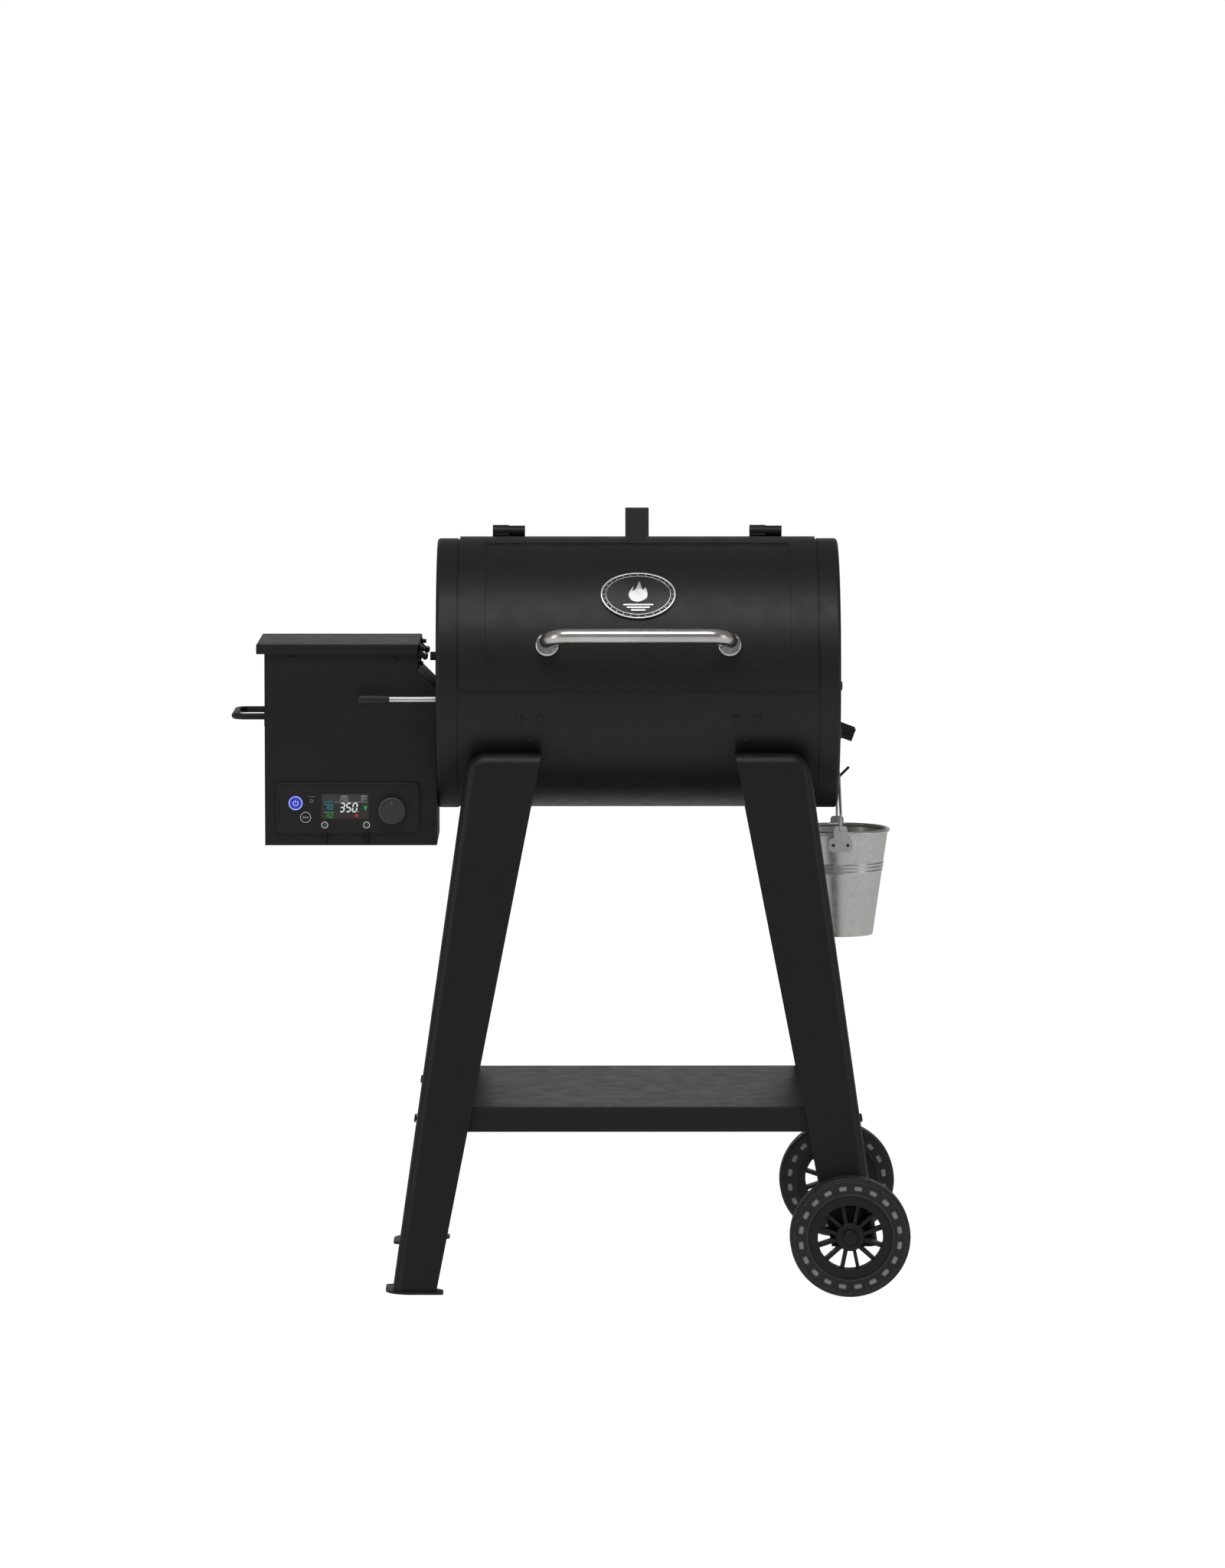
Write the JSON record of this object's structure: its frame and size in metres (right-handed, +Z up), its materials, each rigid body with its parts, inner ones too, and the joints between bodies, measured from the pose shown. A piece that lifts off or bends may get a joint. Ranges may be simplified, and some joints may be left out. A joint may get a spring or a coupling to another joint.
{
  "type": "pellet smoker grill",
  "caption": "Black barrel pellet smoker on four splayed legs with wheels, shelf, side pellet hopper with control panel, hinged lid, tube handle and hanging grease bucket.",
  "frame": {"origin": "on the floor, under the middle of the whole grill, midway between the front and rear wheels", "axes": "+X to the right along the barrel, towards the wheels; +Y to the back; +Z up"},
  "size_m": [1.0102, 0.61, 1.1445],
  "materials": {
    "black_paint": "satin heat-resistant black powder coat with fine orange peel",
    "polished_steel": "polished stainless tube and rod",
    "chrome": "bright chrome",
    "badge_metal": "cast aluminium, brushed high points",
    "black_hardware": "black oxide",
    "zinc_steel": "zinc-plated steel",
    "rim_plastic": "moulded black polypropylene",
    "tyre_rubber": "matt black tyre compound",
    "cast_grate": "porcelain-coated cast iron",
    "rack_wire": "porcelain-coated wire",
    "heat_steel": "heat-stained steel",
    "grip_plastic": "moulded black nylon",
    "panel_plastic": "fine-grained black ABS",
    "display_glass": "glossy display window",
    "button_plastic": "gloss button cap",
    "knob_plastic": "soft-touch dark grey",
    "jack_metal": "nickel-plated socket",
    "galvanised": "hot-dip galvanised sheet"
  },
  "bodies": {
    "grill_frame": {"barrel_shell": "black_paint", "left_end_cap": "black_paint", "right_end_cap": "black_paint", "rear_vent_hood": "black_paint", "lid_hinge_mounts": "black_paint", "lid_stop": "black_paint", "leg_front_left": "black_paint", "leg_front_right": "black_paint", "leg_rear_left": "black_paint", "leg_rear_right": "black_paint", "bottom_shelf": "black_paint", "shelf_bolts": "black_hardware", "foot_plates": "black_paint", "wheel_axle": "black_hardware", "warming_rack": "rack_wire", "grease_tray": "heat_steel", "grease_spout": "black_paint", "fire_pot": "heat_steel", "igniter": "heat_steel", "temperature_probe": "polished_steel", "auger_tube": "zinc_steel", "auger_motor": "zinc_steel", "fan_housing": "zinc_steel", "hopper_housing": "black_paint", "hopper_bin": "zinc_steel", "pellet_guard": "rack_wire", "hopper_hinge_mounts": "black_hardware", "hopper_handle": "black_paint", "control_bezel": "panel_plastic", "control_display": "display_glass", "probe_jacks": "jack_metal", "power_inlet": "grip_plastic", "bucket_hook": "black_hardware", "body_bolts": "black_hardware"},
    "lid": {"lid_shell": "black_paint", "lid_handle": "polished_steel", "handle_bezels": "chrome", "lid_badge": "badge_metal", "lid_hinge_leaves": "black_paint"},
    "hopper_lid": {"hopper_lid": "black_paint", "hopper_lid_leaves": "black_hardware"},
    "broiler_lever": {"broiler_slider": "heat_steel", "lever_rod": "polished_steel", "lever_grip": "grip_plastic"},
    "knob": {"control_knob": "knob_plastic"},
    "power_button": {"power_button": "button_plastic"},
    "prime_button": {"prime_button": "button_plastic"},
    "front_wheel": {"front_wheel_rim": "rim_plastic", "front_wheel_tyre": "tyre_rubber"},
    "rear_wheel": {"rear_wheel_rim": "rim_plastic", "rear_wheel_tyre": "tyre_rubber"},
    "auger": {"auger_screw": "heat_steel"},
    "fan": {"fan_wheel": "grip_plastic"},
    "bail": {"bucket_bail": "galvanised"},
    "bucket": {"bucket_pail": "galvanised", "bucket_ears": "galvanised"},
    "left_grate": {"cooking_grate_left": "cast_grate"},
    "right_grate": {"cooking_grate_right": "cast_grate"}
  },
  "joints": [
    {"name": "lid_hinge", "type": "hinge", "parent": "grill_frame", "child": "lid", "pos_m": [0.104, 0.045, 1.112], "axis": [-1, 0, 0], "range_deg": [0, 100]},
    {"name": "hopper_lid_hinge", "type": "hinge", "parent": "grill_frame", "child": "hopper_lid", "pos_m": [-0.2135, 0, 0.932], "axis": [0, 1, 0], "range_deg": [0, 65]},
    {"name": "broiler_lever_slide", "type": "slide", "parent": "grill_frame", "child": "broiler_lever", "axis": [1, 0, 0], "range_m": [0, 0.058]},
    {"name": "knob_turn", "type": "hinge", "parent": "grill_frame", "child": "knob", "pos_m": [-0.2628, -0.12, 0.7046], "axis": [0, 1, 0], "continuous": true},
    {"name": "power_press", "type": "slide", "parent": "grill_frame", "child": "power_button", "axis": [0, 1, 0], "range_m": [0, 0.001], "stiffness_N_per_m": 400},
    {"name": "prime_press", "type": "slide", "parent": "grill_frame", "child": "prime_button", "axis": [0, 1, 0], "range_m": [0, 0.001], "stiffness_N_per_m": 400},
    {"name": "front_wheel_spin", "type": "hinge", "parent": "grill_frame", "child": "front_wheel", "pos_m": [0.4162, -0.285, 0.089], "axis": [0, 1, 0], "continuous": true},
    {"name": "rear_wheel_spin", "type": "hinge", "parent": "grill_frame", "child": "rear_wheel", "pos_m": [0.4162, 0.285, 0.089], "axis": [0, 1, 0], "continuous": true},
    {"name": "auger_turn", "type": "hinge", "parent": "grill_frame", "child": "auger", "pos_m": [0.104, 0, 0.735], "axis": [1, 0, 0], "continuous": true},
    {"name": "fan_spin", "type": "hinge", "parent": "grill_frame", "child": "fan", "pos_m": [-0.258, 0.036, 0.7], "axis": [0, 1, 0], "continuous": true},
    {"name": "bail_unhook", "type": "slide", "parent": "grill_frame", "child": "bail", "axis": [0.7071, 0, 0.7071], "range_m": [0, 0.02]},
    {"name": "bucket_swing", "type": "hinge", "parent": "bail", "child": "bucket", "pos_m": [0.408, 0, 0.6705], "axis": [0, 1, 0], "range_deg": [-6, 6]},
    {"name": "left_grate_lift", "type": "slide", "parent": "grill_frame", "child": "left_grate", "axis": [0, 0, 1], "range_m": [0, 0.03]},
    {"name": "right_grate_lift", "type": "slide", "parent": "grill_frame", "child": "right_grate", "axis": [0, 0, 1], "range_m": [0, 0.03]}
  ]
}
